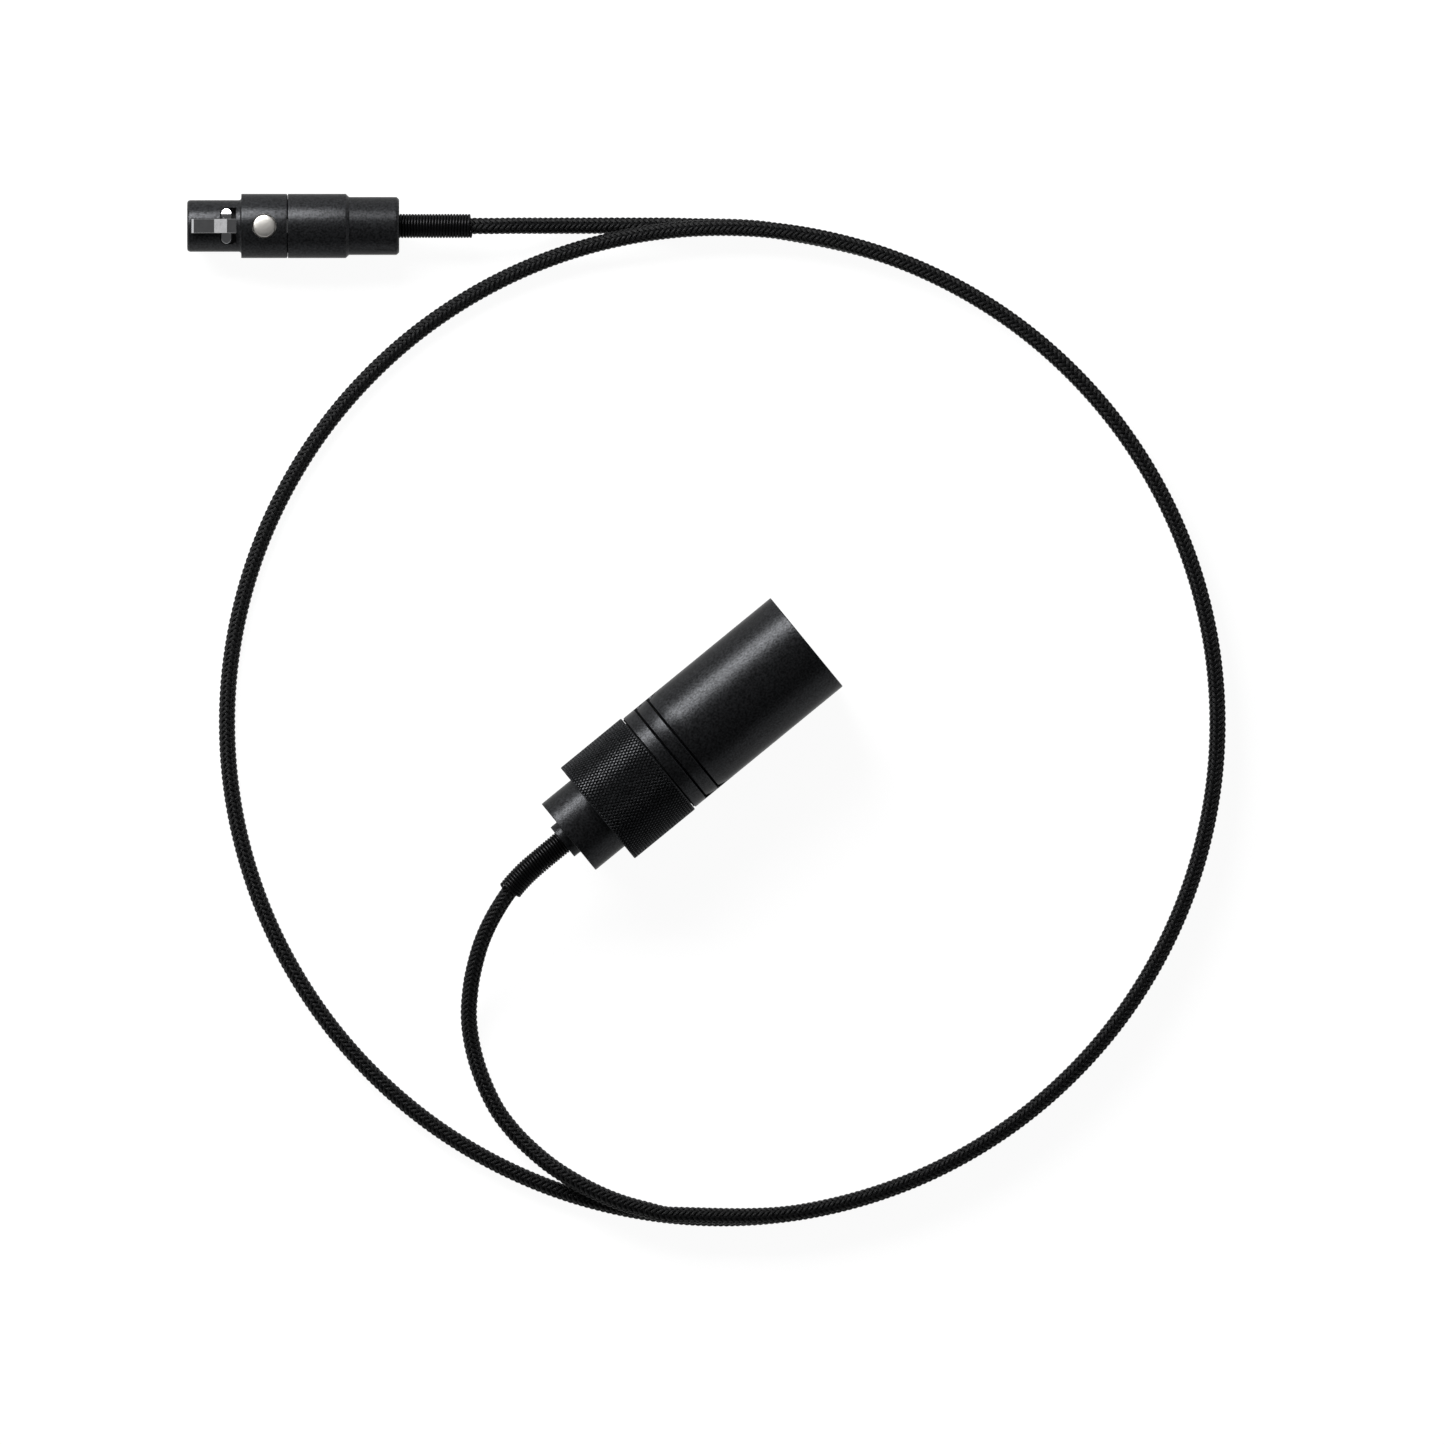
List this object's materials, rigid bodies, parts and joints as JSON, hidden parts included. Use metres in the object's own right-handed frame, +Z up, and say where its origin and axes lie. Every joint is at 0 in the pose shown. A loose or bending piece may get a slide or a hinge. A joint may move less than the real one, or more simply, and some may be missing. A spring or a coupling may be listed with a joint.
{
  "type": "coiled audio cable",
  "caption": "Braided black audio cable in a coil, with a full-size round three-pin plug on one end and a miniature latching socket plug on the other.",
  "frame": {"origin": "middle of the two plugs' box seen from above, on the surface that they lie on", "axes": "+X is the way the full-size plug's mouth faces, +Z is up from the surface that the coil lies on"},
  "size_m": [0.1674, 0.2073, 0.0195],
  "materials": {
    "xlr_black_metal": "fine matte black finish on cast metal",
    "mini_black_metal": "fine matte black finish on turned metal",
    "black_plastic": "moulded, satin",
    "gold_contacts": "gold plated, polished",
    "satin_steel": "nickel plated, satin",
    "latch_chrome": "bright plated",
    "button_satin": "satin nickel with a bright rim",
    "grey_fibre": "plain",
    "spring_steel": "black oxide on spring steel",
    "red_wire": "plain",
    "white_wire": "plain",
    "copper_wire": "tinned strand",
    "black_braid": "braided textile sleeve"
  },
  "bodies": {
    "cable": {"xlr_shell": "xlr_black_metal", "xlr_insert": "black_plastic", "xlr_pin_1": "gold_contacts", "xlr_pin_2": "gold_contacts", "xlr_pin_3": "gold_contacts", "xlr_ground_clip": "satin_steel", "xlr_chuck": "black_plastic", "xlr_end_cap": "xlr_black_metal", "xlr_strain_spring": "spring_steel", "xlr_wire_1": "red_wire", "xlr_wire_2": "white_wire", "xlr_wire_3": "copper_wire", "mini_front_shell": "mini_black_metal", "mini_insert": "black_plastic", "mini_socket_1": "gold_contacts", "mini_socket_2": "gold_contacts", "mini_socket_3": "gold_contacts", "mini_latch_pin": "satin_steel", "mini_latch_spring": "satin_steel", "mini_cable_clamp": "black_plastic", "mini_wire_1": "red_wire", "mini_wire_2": "white_wire", "mini_wire_3": "copper_wire", "braided_cable": "black_braid"},
    "ring_washer": {"xlr_slip_washer": "grey_fibre"},
    "ring": {"xlr_knurled_ring": "xlr_black_metal"},
    "tail_spring": {"mini_strain_spring": "spring_steel"},
    "tail": {"mini_backshell": "mini_black_metal"},
    "latch": {"mini_latch_lever": "latch_chrome"},
    "button": {"mini_push_button": "button_satin"}
  },
  "joints": [
    {"name": "ring_travel", "type": "slide", "parent": "cable", "child": "ring_washer", "axis": [-1, 0, 0], "range_m": [0, 0.0046]},
    {"name": "ring_turn", "type": "hinge", "parent": "ring_washer", "child": "ring", "pos_m": [-0.0075, -0.05613, 0.00975], "axis": [-1, 0, 0], "range_deg": [0, 1104]},
    {"name": "backshell_travel", "type": "slide", "parent": "cable", "child": "tail_spring", "axis": [0.7738, -0.6334, 0], "range_m": [0, 0.0023]},
    {"name": "backshell_turn", "type": "hinge", "parent": "tail_spring", "child": "tail", "pos_m": [0.0161, 0.04568, 0.00535], "axis": [0.7738, -0.6334, 0], "range_deg": [0, 1104]},
    {"name": "latch_tilt", "type": "hinge", "parent": "cable", "child": "latch", "pos_m": [0.01013, 0.05057, 0.00855], "axis": [-0.6334, -0.7738, 0], "range_deg": [0, 3.4], "stiffness_Nm_per_rad": 0.02, "springref_deg": -5.73},
    {"name": "button_press", "type": "slide", "parent": "cable", "child": "button", "axis": [0, 0, -1], "range_m": [0, 0.00038]}
  ],
  "couplings": [
    {"joint": "ring_turn", "follows": "ring_travel", "rad_per_m": 4188.8},
    {"joint": "backshell_turn", "follows": "backshell_travel", "rad_per_m": 8377.6},
    {"joint": "latch_tilt", "follows": "button_press", "rad_per_m": 156.1}
  ]
}
